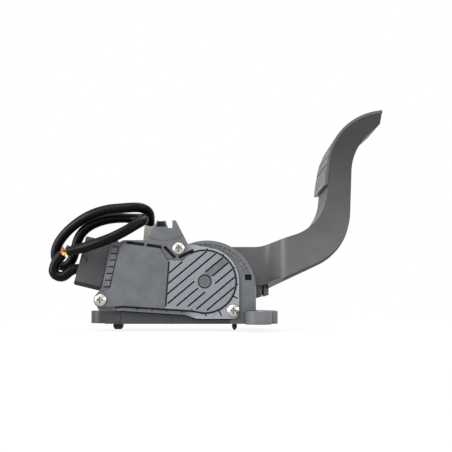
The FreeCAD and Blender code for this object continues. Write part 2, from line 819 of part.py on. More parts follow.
def make_cover():
    body = make_body("sensor_cover")
    pad(body, "flange", "XZ", flange_face, side_near, [flange_outline()])
    tab = [Corner(-74.5, 60.0), Corner(-51.0, 60.0), *tab_crown()]
    pad(body, "tab", "XZ", flange_face, flange_face + s.tab_deep, [tab])
    panel = [
        Round(s.screw_left_x, s.screw_left_z, s.lobe_round - 0.3),
        Corner(-91.2, 12.6), Corner(-62.9, 10.6), Corner(-62.0, 43.6), Corner(-67.0, 51.5),
        Corner(-91.5, 55.4), Corner(-94.4, 52.0), Corner(-100.5, 24.5),
    ]
    pad(body, "panel", "XZ", panel_face, flange_face, [panel])
    pad(body, "disc", "XZ", panel_face, flange_face, [Disc(s.pivot_x, s.pivot_z, s.disc_round)])
    skirt = [Corner(-62.9, 10.6), Corner(-46.0, 9.6), Corner(-36.3, 28.9), Corner(-50.0, 43.0),
             Corner(-62.0, 43.6)]
    pad(body, "skirt", "XZ", panel_face, flange_face, [skirt])
    hollow = chamber_outline(-s.hollow_margin)
    pocket(body, "hollow", "XZ", panel_face + s.cover_wall, side_near, [hollow])
    grooves = [disc_groove(*groove) for groove in DISC_GROOVES]
    pocket(body, "rib_grooves", "XZ", panel_face, panel_face + s.groove_deep, grooves)
    dial = [Disc(s.pivot_x, s.pivot_z, s.dial_round + s.dial_groove), Disc(s.pivot_x, s.pivot_z, s.dial_round)]
    pocket(body, "dial", "XZ", panel_face, panel_face + s.groove_deep, dial)
    edge = bar(*[[as_size(value) for value in point] for point in RIBS_EDGE], s.groove_wide)
    pocket(body, "ribs_edge", "XZ", panel_face, panel_face + s.groove_deep, [edge])
    pocket(body, "ring", "XZ", flange_face, flange_face + s.groove_deep, [ring_groove()])
    pocket(body, "sill", "XZ", flange_face, flange_face + s.groove_deep, [strip(SILL, s.groove_wide)])
    dashes = [rim_dash(*dash) for dash in RIM_DASHES]
    pocket(body, "rim_dashes", "XZ", flange_face, flange_face + s.groove_deep, dashes)
    ticks = [sill_tick(*tick) for tick in SILL_TICKS]
    pocket(body, "sill_ticks", "XZ", flange_face, flange_face + s.groove_deep, ticks)
    slots = []
    for start, end in COVER_SLOTS:
        slots.append(bar([as_size(value) for value in start], [as_size(value) for value in end], s.slot_wide))
    pocket(body, "slots", "XZ", panel_face, flange_face + s.slot_deep, slots)
    recess = [Disc(s.recess_x, s.recess_z, s.recess_round)]
    pocket(body, "tab_recess", "XZ", flange_face, flange_face + s.recess_deep, recess)
    sill, left, right = s.notch_low + s.tab_rim, s.tab_left + s.tab_rim, s.notch_left - s.tab_rim
    window = [Corner(left - s.notch_lean, sill), Corner(right, sill),
              Corner(right - s.notch_lean, s.tab_top + 1), Corner(left, s.tab_top + 1)]
    pocket(body, "tab_window", "XZ", flange_face, flange_face + s.tab_deep / 2, [window])
    steps = [ladder_step(i) for i in range(6)]
    pad(body, "ladder", "XZ", flange_face - s.ladder_rise, flange_face, steps)
    rungs = [ladder_rung(i) for i in range(7)]
    pocket(body, "rungs", "XZ", flange_face - s.ladder_rise, flange_face + s.slot_deep, rungs)
    stud = [Disc(s.stud_x, s.stud_z, s.stud_round)]
    pad(body, "stud", "XZ", flange_face - s.ladder_rise, side_near, stud)
    holes = [Disc(across, up, s.screw_shank + 0.15) for across, up in SCREWS]
    pocket(body, "screw_holes", "XZ", panel_face - 1, side_near, holes)
    return body


def make_seal():
    body = make_body("cover_seal")
    loops = [chamber_outline(s.seal_margin + s.seal_wide - 0.1), chamber_outline(s.seal_margin + 0.1)]
    pad(body, "seal_ring", "XZ", side_near, side_near + s.seal_deep, loops)
    return body


def make_screws():
    levels = [panel_face, flange_face, flange_face]
    screws = []
    for i, ((across, up), level) in enumerate(zip(SCREWS, levels)):
        body = make_body(f"cover_screw_{i}")
        section = [
            Corner(ZERO, -s.head_rise), Corner(s.screw_head * 0.55, -s.head_rise),
            Corner(s.screw_head, -s.head_rise * 0.45), Corner(s.screw_head, ZERO),
            Corner(s.screw_shank, ZERO), Corner(s.screw_shank, s.screw_long - 2), Corner(ZERO, s.screw_long - 1),
        ]
        revolve(body, f"screw_{i}", "XY", [section])
        arm, half = 2.2, 0.45
        cross = [Corner(-half, -arm), Corner(half, -arm), Corner(half, -half), Corner(arm, -half),
                 Corner(arm, half), Corner(half, half), Corner(half, arm), Corner(-half, arm),
                 Corner(-half, half), Corner(-arm, half), Corner(-arm, -half), Corner(-half, -half)]
        pocket(body, f"cross_{i}", "XZ", -s.head_rise - 0.1, -s.head_rise + 1.3, [cross])
        place(body, across, level, up)
        screws.append(body)
    return group("cover_screws", screws)


# Sensor

def make_board():
    body = make_body("sensor_board")
    pad(body, "board", "XZ", board_near, board_far, [chamber_outline(-s.board_gap)])
    return body


def make_chips():
    chips = []
    for i, across in enumerate((s.pivot_x - 7, s.pivot_x + 3)):
        body = make_body(f"hall_sensor_{i}")
        outline = rectangle(across, s.pivot_z - 2.5, across + 4, s.pivot_z + 2.5)
        pad(body, f"chip_{i}", "XZ", board_near - s.chip_rise, board_near, [outline])
        chips.append(body)
    return group("hall_sensors", chips)


def make_pins():
    pins = []
    half = s.pin_side / 2
    for i in range(6):
        body = make_body(f"terminal_pin_{i}")
        up = s.plug_z - s.pin_lower + s.pin_pitch * (i - 2.5)
        outline = rectangle(s.plug_x + 1, up - half, s.chamber_left + 8, up + half)
        pad(body, f"pin_{i}", "XZ", pin_level - half, pin_level + half, [outline])
        foot = rectangle(s.chamber_left + 8 - s.pin_side, up - half, s.chamber_left + 8, up + half)
        pad(body, f"foot_{i}", "XZ", board_far, pin_level + half, [foot])
        pins.append(body)
    return group("terminal_pins", pins)


def make_rotor():
    rotor = make_body("sensor_rotor")
    far = s.shaft_near + s.rotor_thick
    section = ring_section(s.shaft_round + s.press_gap, s.shaft_near, s.rotor_round, far)
    revolve(rotor, "rotor_disc", "XY", [section])
    place(rotor, s.pivot_x, ZERO, s.pivot_z)
    magnets = []
    for i, side in enumerate((-1, 1)):
        body = make_body(f"rotor_magnet_{i}")
        middle = s.pivot_x + 7.2 * side
        outline = rectangle(middle - 2.4, s.pivot_z - 4, middle + 2.4, s.pivot_z + 4)
        pad(body, f"magnet_{i}", "XZ", s.shaft_near - s.magnet_rise, s.shaft_near, [outline])
        magnets.append(body)
    return [rotor, group("rotor_magnets", magnets)]


# Shaft and bushes

def make_shaft():
    body = make_body("pivot_shaft")
    head = boss_far + s.running_gap
    section = [
        Corner(ZERO, s.shaft_near), Corner(s.shaft_round, s.shaft_near), Corner(s.shaft_round, head),
        Corner(s.head_round, head), Corner(s.head_round, head + s.head_thick), Corner(ZERO, head + s.head_thick),
    ]
    revolve(body, "shaft", "XY", [section])
    place(body, s.pivot_x, ZERO, s.pivot_z)
    return body


def make_bushes():
    bore = s.shaft_round + s.shaft_gap
    near = make_body("near_bush")
    section = [Corner(bore, boss_near), Corner(bush_round, boss_near), Corner(bush_round, s.bay_near),
               Corner(s.bush_flange, s.bay_near), Corner(s.bush_flange, s.bay_near + s.flange_rise),
               Corner(bore, s.bay_near + s.flange_rise)]
    revolve(near, "near_bush_ring", "XY", [section])
    far = make_body("far_bush")
    section = [Corner(bore, s.bay_far - s.flange_rise), Corner(s.bush_flange, s.bay_far - s.flange_rise),
               Corner(s.bush_flange, s.bay_far), Corner(bush_round, s.bay_far), Corner(bush_round, boss_far),
               Corner(bore, boss_far)]
    revolve(far, "far_bush_ring", "XY", [section])
    disc = make_body("friction_disc")
    ring = ring_section(s.bush_flange + 0.3, s.bay_far - s.flange_rise, s.hub_round - 2, s.bay_far)
    revolve(disc, "friction_ring", "XY", [ring])
    for body in (near, far, disc):
        place(body, s.pivot_x, ZERO, s.pivot_z)
    return [near, far, disc]


# Pedal

def arm_outline():
    return [
        Corner(s.heel_x, s.pivot_z - 10), Corner(as_size(-18.0), s.neck_low),
        Corner(s.lift_x, s.neck_low, s.lift_round),
        Corner(s.knee_x, s.knee_z, s.knee_round), Corner(s.shin_x, s.shin_z, s.shin_round),
        Corner(s.toe_x - s.toe_lean, s.toe_low, s.toe_round), Corner(s.toe_x, s.toe_top),
        Corner(s.brow_bend_x, s.brow_bend_z, s.brow_bend_round),
        Corner(s.bend_x, s.bend_z, s.bend_round), Corner(s.crook_x, s.neck_top, s.lift_round),
        Corner(s.heel_x, s.neck_top, as_size(12.0)),
    ]


def channel_outline(ease):
    """The arm's outline from the pod to the toe, with the bend under the pad's top eased by a smaller radius."""
    start = s.jog_end - s.arm_wall + s.channel_shift
    low_share = (start - s.lift_x) / (s.knee_x - s.lift_x)
    high_share = (start - s.crook_x) / (s.bend_x - s.crook_x)
    return [
        Corner(start, s.neck_low + (s.knee_z - s.neck_low) * low_share),
        Corner(s.knee_x, s.knee_z, s.knee_round), Corner(s.shin_x, s.shin_z, s.shin_round),
        Corner(s.toe_x - s.toe_lean, s.toe_low), Corner(s.toe_x, s.toe_top),
        Corner(s.brow_bend_x, s.brow_bend_z, s.brow_bend_round - ease),
        Corner(s.bend_x, s.bend_z, s.bend_round),
        Corner(start, s.neck_top + (s.bend_z - s.neck_top) * high_share),
    ]


def between(first, last, share):
    """A point part of the way along a side of the arm's outline."""
    return first.across + (last.across - first.across) * share, first.up + (last.up - first.up) * share


def arm_ribs():
    """Zigzag ribs in the hollow, from the lower side to the upper one and back."""
    low, knee, shin, _, _, brow, bend, high = inset(channel_outline(ZERO), s.arm_wall / 2)
    knee_middle = knee.across - knee.radius * 0.146, knee.up + knee.radius * 0.098
    brow_middle = brow.across + brow.radius * 0.185, brow.up - brow.radius * 0.172
    turns = [
        between(high, bend, 0.1), between(low, knee, 0.3), between(high, bend, 0.75), knee_middle,
        between(bend, brow, 0.15), between(knee, shin, 0.4), between(bend, brow, 0.36),
        between(knee, shin, 0.6), between(bend, brow, 0.56), between(knee, shin, 0.82), brow_middle,
    ]
    return [bar(start, end, s.rib_thick) for start, end in zip(turns, turns[1:])]


def lip_outline():
    """The strip below the arm's lower edge, narrowing round the knee and running out on the shin."""
    run_x, run_z = s.knee_x - s.lift_x, s.knee_z - s.neck_low
    long = root(run_x * run_x + run_z * run_z)
    start = (s.lift_x + run_z / long * s.lip_drop, s.neck_low - run_x / long * s.lip_drop)
    end = (s.knee_x + (s.shin_x - s.knee_x) * s.lip_share, s.knee_z + (s.shin_z - s.knee_z) * s.lip_share)
    inner_knee = inset(channel_outline(ZERO), s.arm_wall / 2)[1]
    return [Corner(*start), Corner(s.knee_x + s.lip_turn, s.knee_z - s.lip_turn, s.knee_round), Corner(*end),
            Corner(end[0] - s.arm_wall / 2, end[1]), inner_knee, Corner(s.lift_x, s.neck_low + s.arm_wall / 2)]


def pad_plate():
    """The plate under the pad, along the arm's upper edge."""
    outer = inset(channel_outline(ZERO), s.plate_inset)
    inner = inset(channel_outline(s.brow_ease), s.plate_inset + s.plate_thick)
    low_x = pad_foot() + s.plate_inset
    return [Corner(low_x + s.plate_thick, s.pad_low), inner[5], inner[4], outer[4], outer[5],
            Corner(low_x, s.pad_low)]


def pad_foot():
    """Where the pad's lower end lies on the arm's upper edge."""
    slope = (s.brow_bend_x - s.bend_x) / (s.brow_bend_z - s.bend_z)
    return s.bend_x + (s.pad_low - s.bend_z) * slope


def taper(inward):
    """The corner cut off the far side, so that the pad narrows towards the toe."""
    beyond = s.pad_far + s.taper_start
    return [Corner(s.pad_far - inward, s.pad_low + s.taper_start), Corner(beyond, s.pad_low + s.taper_start),
            Corner(beyond, s.toe_top + s.pad_thick + 1), Corner(s.pad_toe_far - inward, s.toe_top + s.pad_thick + 1)]


def make_arm():
    body = make_body("pedal_arm")
    pad(body, "blade", "XZ", s.arm_near, s.arm_far, [arm_outline()])
    near_cut = [Corner(as_size(-90.0), s.arm_near - 5), Corner(s.jog_end + 2, s.arm_near - 5),
                Corner(s.jog_end + 2, s.arm_near), Corner(s.jog_end - 2, s.arm_near, s.jog_round),
                Corner(s.jog_start, hub_near, s.jog_round), Corner(as_size(-90.0), hub_near)]
    pocket(body, "near_jog", "XY", as_size(-5.0), s.toe_top + 5, [near_cut])
    far_cut = [Corner(as_size(-90.0), hub_far), Corner(s.jog_start, hub_far, as_size(6.0)),
               Corner(s.jog_start + 8, s.arm_far, as_size(6.0)), Corner(s.jog_end, s.arm_far),
               Corner(s.jog_end, s.arm_far + 5), Corner(as_size(-90.0), s.arm_far + 5)]
    pocket(body, "far_jog", "XY", as_size(-5.0), s.toe_top + 5, [far_cut])
    hollow = inset(channel_outline(s.brow_ease), s.arm_wall)
    pocket(body, "channel", "XZ", s.arm_near + s.arm_wall, s.arm_far, [hollow])
    pad(body, "lip", "XZ", s.arm_near + s.arm_wall, s.arm_far - s.stop_slot, [lip_outline()])
    for i, rib in enumerate(arm_ribs()):
        pad(body, f"rib_{i}", "XZ", s.arm_near + s.arm_wall / 2, s.arm_far - s.arm_wall, [rib])
    pad(body, "plate", "XZ", s.arm_far - s.plate_thick, s.pad_far - s.plate_gap, [pad_plate()])
    pocket(body, "toe_taper", "YZ", ZERO, s.toe_x + s.arm_wall, [taper(s.plate_gap)])
    pad(body, "hub", "XZ", hub_near, hub_far, [Disc(s.pivot_x, s.pivot_z, s.hub_round)])
    horn = [Corner(s.horn_left, s.horn_low, as_size(2.0)), Corner(s.rest_left + 2, s.horn_low),
            Corner(s.pivot_x, s.horn_low - 6),
            Corner(s.pivot_x, s.horn_high + 6), Corner(s.spring_x + s.seat_round + 1, s.horn_high),
            Corner(s.horn_left, s.horn_high, as_size(2.0))]
    pad(body, "horn", "XZ", hub_near, hub_far, [horn])
    middle = (s.stop_left + s.stop_right) / 2
    middle_z = (s.stop_left_z + s.stop_right_z) / 2
    prongs = [
        [Corner(s.stop_left, s.stop_left_z), Corner(middle - s.stop_slot / 2, middle_z),
         Corner(middle - s.stop_slot / 2, s.neck_low + 6), Corner(s.stop_left, s.neck_low + 6)],
        [Corner(middle + s.stop_slot / 2, middle_z), Corner(s.stop_right, s.stop_right_z),
         Corner(s.stop_right, s.neck_low + 6), Corner(middle + s.stop_slot / 2, s.neck_low + 6)],
    ]
    pad(body, "stop_prongs", "XZ", s.stop_near, s.stop_far, prongs)
    web = [Corner(s.stop_left + 1, s.stop_left_z + 1), Corner(s.stop_right - 1, s.stop_right_z + 1),
           Corner(s.stop_right - 1, s.neck_low + 6), Corner(s.stop_left + 1, s.neck_low + 6)]
    pad(body, "stop_web", "XZ", s.stop_near + 2 * s.stop_slot, s.stop_far - s.stop_slot, [web])
    pocket(body, "shaft_bore", "XZ", hub_near, hub_far, [Disc(s.pivot_x, s.pivot_z, s.shaft_round + s.press_gap)])
    return body


def make_seat():
    body = make_body("spring_seat")
    section = [Corner(ZERO, s.horn_high), Corner(s.seat_round, s.horn_high),
               Corner(s.seat_round, spring_low), Corner(s.inner_coil - s.inner_wire, spring_low),
               Corner(s.inner_coil - s.inner_wire - 0.6, spring_low + 4), Corner(ZERO, spring_low + 4)]
    revolve(body, "seat", "XZ", [section])
    place(body, s.spring_x, s.spring_y)
    return body


def make_spring(label, coil, wire, turns):
    """A coil spring between the seat and the housing's roof."""
    low = spring_low.value + wire.value / 2 + 0.05
    high = spring_top.value - wire.value / 2 - 0.05
    helix = Part.makeHelix((high - low) / turns.value, high - low, coil.value)
    start = FreeCAD.Vector(coil.value, 0, 0)
    section = Part.Wire(Part.makeCircle(wire.value / 2, start, FreeCAD.Vector(0, 1, 0)))
    spring = doc.addObject("Part::Feature", label)
    spring.Shape = Part.Wire(helix.Edges).makePipeShell([section], True, True)
    spring.Label = label
    spring.Placement = FreeCAD.Placement(FreeCAD.Vector(s.spring_x.value, s.spring_y.value, low), FreeCAD.Rotation())
    return spring


def make_pad():
    body = make_body("pedal_pad")
    low_x = pad_foot()
    thick = s.pad_thick
    slope = (s.toe_top - s.brow_bend_z) / (s.toe_x - s.brow_bend_x)
    under, over = inset(channel_outline(ZERO), -s.pad_seat), inset(channel_outline(ZERO), -thick)
    end_x = s.toe_x + s.pad_lip
    top = [Corner(end_x, s.toe_top + s.pad_lip * slope + s.pad_seat * 1.02),
           Corner(end_x - s.pad_lip / 2, s.toe_top + s.pad_lip / 2 * slope + thick * 1.02, s.pad_lip),
           over[5], Corner(low_x - thick, s.pad_low), Corner(low_x - s.pad_seat, s.pad_low), under[5]]
    pad(body, "tread", "XZ", s.pad_near, s.pad_far, [top])
    pocket(body, "far_taper", "YZ", ZERO, s.toe_x + s.arm_wall, [taper(ZERO)])
    centre = inset(channel_outline(ZERO), s.brow_bend_round)[5]
    crown = s.brow_bend_round + s.pad_thick
    cuts = []
    for i in range(8):
        angle = s.tread_first - s.tread_step * i
        run, rise = cosine(angle), sine(angle)
        low, high = crown - s.tread_deep, crown + s.tread_deep
        cuts.append(bar((centre.across + run * low, centre.up + rise * low),
                        (centre.across + run * high, centre.up + rise * high), s.tread_groove))
    pocket(body, "cross_grooves", "XZ", s.pad_near + s.tread_edge, s.pad_far - s.tread_edge, cuts)
    floor = inset(channel_outline(ZERO), s.tread_deep - thick)
    sky = inset(channel_outline(ZERO), -thick - 1)
    start = s.pad_low + s.tread_edge
    shift = pad_foot() + s.tread_edge * (s.brow_bend_x - s.bend_x) / (s.brow_bend_z - s.bend_z)
    skin = [Corner(shift - thick + s.tread_deep, start), floor[5], Corner(*between(floor[5], floor[4], 0.88)),
            Corner(*between(sky[5], sky[4], 0.86)), sky[5], Corner(shift - thick - 1, start)]
    rows = int(s.tread_rows.value)
    step = (s.pad_far - s.pad_near - 2 * s.tread_edge) / (s.tread_rows - 1)
    for i in range(rows):
        middle = s.pad_near + s.tread_edge + step * i
        pocket(body, f"row_{i}", "XZ", middle - s.tread_groove / 2, middle + s.tread_groove / 2, [skin])
    return body


# Plug and harness

def tilted(across, up):
    """A point of the plug, given from its centre along its own width and height."""
    lean, stand = sine(s.plug_tilt), cosine(s.plug_tilt)
    return s.plug_x + across * stand + up * lean, s.plug_z - across * lean + up * stand


def cheek_at(up):
    """Where the plug meets the housing's left wall."""
    slope = (s.brow_x - s.cheek_x) / (s.brow_z - s.cheek_z)
    return s.cheek_x + (up - s.cheek_z) * slope - s.plug_gap


def make_plug():
    body = make_body("harness_plug")
    half, tall = s.plug_wide / 2, s.plug_high / 2
    corners = [tilted(-half, -tall), tilted(half, -tall), tilted(half, tall), tilted(-half, tall)]
    pad(body, "plug_body", "XZ", s.plug_near, s.plug_far, [[Corner(x, z, as_size(1.2)) for x, z in corners]])
    nose = [Corner(*tilted(half - 1, -s.nose_half)), Corner(cheek_at(s.plug_z - s.nose_half), s.plug_z - s.nose_half),
            Corner(cheek_at(s.plug_z + s.nose_half), s.plug_z + s.nose_half),
            Corner(*tilted(half - 1, s.nose_half))]
    pad(body, "nose", "XZ", s.plug_near + 1, s.plug_far - 1, [nose])
    slot = rectangle(s.plug_x, pins_low() - 1, s.plug_x + s.plug_wide, pins_high() + 1)
    pocket(body, "pin_cavity", "XZ", pin_level - 1.5, pin_level + 1.5, [slot])
    boss = [Disc(s.plug_boss_x, s.plug_boss_z, s.plug_boss)]
    pad(body, "boss", "XZ", s.plug_near - s.plug_boss / 2, s.plug_near, boss)
    entry = [Disc(s.cable_y, s.cable_z, s.sleeve_round + s.running_gap)]
    pocket(body, "cable_entry", "YZ", s.plug_x - s.plug_high, s.cable_seat, entry)
    return body


# Cord routes, point by point
LOWER_ROUTE = [
    (-121.23, -11.0, 38.4), (-129.5, -11.0, 38.4), (-137.5, -11.0, 31.8), (-144.0, -11.0, 35.2),
    (-142.0, -11.0, 43.0), (-137.5, -11.0, 48.5),
]
MAIN_ROUTE = [
    (-130.5, -21.0, 49.6), (-121.5, -22.5, 51.5), (-110.4, -26.0, 54.6), (-99.8, -28.0, 58.0),
    (-90.8, -26.0, 63.0), (-83.7, -22.0, 68.3), (-79.0, -16.5, 72.2), (-81.0, -8.5, 74.5),
    (-88.5, -4.0, 75.2), (-98.6, -3.5, 75.8), (-108.6, -3.5, 74.6), (-118.1, -2.4, 71.7),
    (-125.5, -1.2, 66.9), (-129.8, -0.6, 60.2), (-131.5, 0.0, 51.9), (-134.0, 1.0, 45.0),
    (-137.8, 1.4, 41.0), (-142.4, 1.4, 41.0), (-145.4, 1.0, 45.2), (-146.0, 0.0, 51.2),
    (-143.5, -1.0, 58.0), (-138.7, -2.5, 63.9), (-132.4, -4.5, 69.4), (-124.6, -7.0, 74.4),
    (-115.8, -9.5, 78.2), (-105.5, -11.5, 80.7), (-95.3, -13.0, 81.2), (-86.2, -13.0, 81.9),
    (-81.5, -10.0, 82.0), (-77.6, -4.5, 80.2), (-77.2, 1.5, 76.6), (-78.0, 4.0, 72.0),
]
WIRE_ROUTES = {
    "green_wire": [(-136.92, -9.7, 48.03), (-133.8, -9.7, 51.85), (-132.6, -15.0, 55.2),
                   (-132.47, -19.31, 48.41), (-130.15, -19.7, 48.9)],
    "red_wire": [(-138.66, -11.0, 49.45), (-136.9, -11.0, 51.6), (-135.8, -16.0, 53.0),
                 (-133.72, -20.52, 50.49), (-130.86, -21.0, 51.1)],
    "yellow_wire": [(-136.92, -12.3, 48.03), (-135.27, -12.3, 50.04), (-135.4, -17.0, 49.8),
                    (-133.4, -22.02, 47.69), (-130.5, -22.5, 48.3)],
}


def make_link():
    """The small connector on the harness's end, in line with the sleeve."""
    body = make_body("end_connector")
    half, deep = s.link_wide / 2, s.link_deep / 2
    pad(body, "link_body", "XY", -s.link_long, ZERO, [rectangle(-half, -deep, half, deep)])
    before, end = [FreeCAD.Vector(*point) for point in MAIN_ROUTE[-2:]]
    body.Placement = FreeCAD.Placement(end, FreeCAD.Rotation(FreeCAD.Vector(0, 0, -1), end - before))
    return body


def tube(label, points, radius):
    """A cord along straight runs joined by arcs as large as the runs allow."""
    stops = [FreeCAD.Vector(*point) for point in points]
    edges = []
    at = stops[0]
    radii = []
    for before, corner, after in zip(stops, stops[1:], stops[2:]):
        back, ahead = before - corner, after - corner
        shorter = min(back.Length, ahead.Length)
        turn = math.pi - back.getAngle(ahead)
        reach = 0.45 * shorter
        radii.append(round(reach / math.tan(turn / 2), 1))
        first = corner + back.normalize() * reach
        last = corner + ahead.normalize() * reach
        toward = (back + ahead).normalize()
        bow = reach / math.tan(turn / 2)
        middle = corner + toward * (bow / math.cos(turn / 2) - bow)
        edges.append(Part.LineSegment(at, first).toShape())
        edges.append(Part.Arc(first, middle, last).toShape())
        at = last
    edges.append(Part.LineSegment(at, stops[-1]).toShape())
    path = Part.Wire(edges)
    section = Part.Wire(Part.makeCircle(radius.value, stops[0], stops[1] - stops[0]))
    cord = doc.addObject("Part::Feature", label)
    cord.Shape = path.makePipeShell([section], True, False)
    cord.Label = label
    expected = math.pi * radius.value ** 2 * path.Length
    share = cord.Shape.Volume / expected
    print(f"{label}: length {path.Length:.1f}, radii {radii}, volume share {share:.4f}")
    return cord


subparts = [make_housing(), make_sleeves(), *make_pegs(), make_cover(), make_seal(), make_screws()]
subparts += [make_board(), make_chips(), make_pins(), *make_rotor(), make_shaft(), *make_bushes()]
subparts += [make_arm(), make_seat(), make_pad(), make_plug()]
subparts += [make_link(), tube("lower_sleeve", LOWER_ROUTE, s.sleeve_round)]
subparts.append(tube("main_sleeve", MAIN_ROUTE, s.sleeve_round))
subparts += [tube(label, route, s.wire_round) for label, route in WIRE_ROUTES.items()]
subparts.append(make_spring("return_spring_outer", s.outer_coil, s.outer_wire, s.outer_turns))
subparts.append(make_spring("return_spring_inner", s.inner_coil, s.inner_wire, s.inner_turns))
doc.recompute()

for item in doc.Objects:
    if "Invalid" in item.State or "Error" in item.State:
        raise ValueError(f"{item.Label} failed: {item.State}")
for part in subparts:
    if part.Shape.isNull() or not part.Shape.isValid():
        raise ValueError(f"{part.Label} has no valid shape")

os.makedirs("parts", exist_ok=True)
for part in subparts:
    part.Shape.exportStep(f"parts/{part.Label}.step")
    print(part.Label, len(part.Shape.Solids), round(part.Shape.Volume))
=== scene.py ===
import json
import math

import bpy
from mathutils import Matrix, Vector


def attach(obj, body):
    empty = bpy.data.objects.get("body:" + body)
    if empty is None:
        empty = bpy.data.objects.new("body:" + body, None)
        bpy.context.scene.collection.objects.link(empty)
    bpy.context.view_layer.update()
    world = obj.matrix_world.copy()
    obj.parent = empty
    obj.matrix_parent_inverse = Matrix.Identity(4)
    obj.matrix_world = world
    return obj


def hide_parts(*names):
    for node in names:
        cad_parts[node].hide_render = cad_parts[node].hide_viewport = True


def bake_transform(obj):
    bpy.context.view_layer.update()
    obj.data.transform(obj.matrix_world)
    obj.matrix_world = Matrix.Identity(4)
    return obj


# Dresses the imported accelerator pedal: materials and edges on the CAD nodes, the free harness sleeve,
# the two return springs, and a white stage. Lengths are in metres, or in millimetres where a comment
# says so or the value is multiplied by MM.

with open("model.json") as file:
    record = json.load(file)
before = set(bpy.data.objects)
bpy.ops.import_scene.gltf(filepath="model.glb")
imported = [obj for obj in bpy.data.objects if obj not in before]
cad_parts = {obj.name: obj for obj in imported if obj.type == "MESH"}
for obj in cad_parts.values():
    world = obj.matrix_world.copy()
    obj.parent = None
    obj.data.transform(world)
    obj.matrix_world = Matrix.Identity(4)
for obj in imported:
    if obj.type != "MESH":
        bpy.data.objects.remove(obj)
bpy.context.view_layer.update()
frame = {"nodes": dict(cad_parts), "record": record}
scene = bpy.context.scene
MM = 0.001

# Camera

IMAGE_SIZE = 452.0
FOCAL_PX = 544.0
HORIZON_PX = 76.0
TILT = math.radians(4.0)
SENSOR = 36.0
CAMERA_PLACE = (-0.0218, -0.394, 0.015)
CLIP_START = 0.01


def add_camera():
    data = bpy.data.cameras.new("photo_camera")
    data.sensor_width = SENSOR
    data.lens = FOCAL_PX / IMAGE_SIZE * SENSOR
    data.shift_y = (HORIZON_PX - FOCAL_PX * math.tan(TILT)) / IMAGE_SIZE
    data.clip_start = CLIP_START
    camera = bpy.data.objects.new("photo_camera", data)
    camera.location = CAMERA_PLACE
    camera.rotation_euler = (math.radians(90.0) + TILT, 0.0, 0.0)
    scene.collection.objects.link(camera)
    scene.camera = camera


add_camera()

# Materials

# Noises, each with its scale, its detail and, where it isn't the usual one, its roughness.
CLOUD = {"scale": 90.0, "detail": 4.0}
SCUFF = {"scale": 260.0, "detail": 5.0, "rough": 0.65}
WAVE = {"scale": 160.0, "detail": 2.0}
FINE = {"scale": 1400.0, "detail": 2.0}
SPECK = {"scale": 1500.0, "detail": 2.0}
TREAD_GRAIN = {"scale": 900.0, "detail": 2.0}
MOTTLE = {"scale": 800.0, "detail": 3.0, "rough": 0.7}
STAIN = {"scale": 420.0, "detail": 4.0}
STREAK = {"scale": 900.0, "detail": 3.0, "rough": 0.6}
TINGE = {"scale": 300.0, "detail": 3.0}
SMEAR = {"scale": 500.0, "detail": 4.0}
FOLD = {"scale": 220.0, "detail": 3.0, "rough": 0.6}

# Bumps: a strength, and a depth in millimetres where it is always the same.
WAVE_STRENGTH, WAVE_DEEP = 0.15, 0.08
GRAIN_STRENGTH, GRAIN_DEEP, TREAD_GRAIN_DEEP = 0.35, 0.03, 0.08
STREAK_STRENGTH, STREAK_DEEP = 0.2, 0.02
FOLD_STRENGTH, FOLD_DEEP = 0.3, 0.1

# How far the roughness strays to each side, and how narrow a gap has to be to take painted shade, in
# millimetres.
SCUFF_SPREAD = 0.1
SMEAR_LESS, SMEAR_MORE = 0.08, 0.12
WIDE_CREASE, NARROW_CREASE = 2.0, 1.5
CREASE_SAMPLES = 8
CREASE_SHUT, CREASE_OPEN = 0.3, 0.8

# Shares of a colour that its darker and paler stains take, and where along a noise the tones lie.
CLOUD_DARK, CLOUD_PALE = 0.88, 1.12
STAIN_DARK, STAIN_PALE = 0.7, 1.1
TINGE_DARK, TINGE_PALE = 0.85, 1.12
TWO_STOPS = (0.3, 0.7)
THREE_STOPS = (0.3, 0.55, 0.75)
TREAD_STOPS = (0.35, 0.65)

PLASTIC_GLOSS = 0.25
# Faces whose normal points this far towards the viewer's side count as fronts.
FRONT, BASE_FRONT = -0.7, -0.5


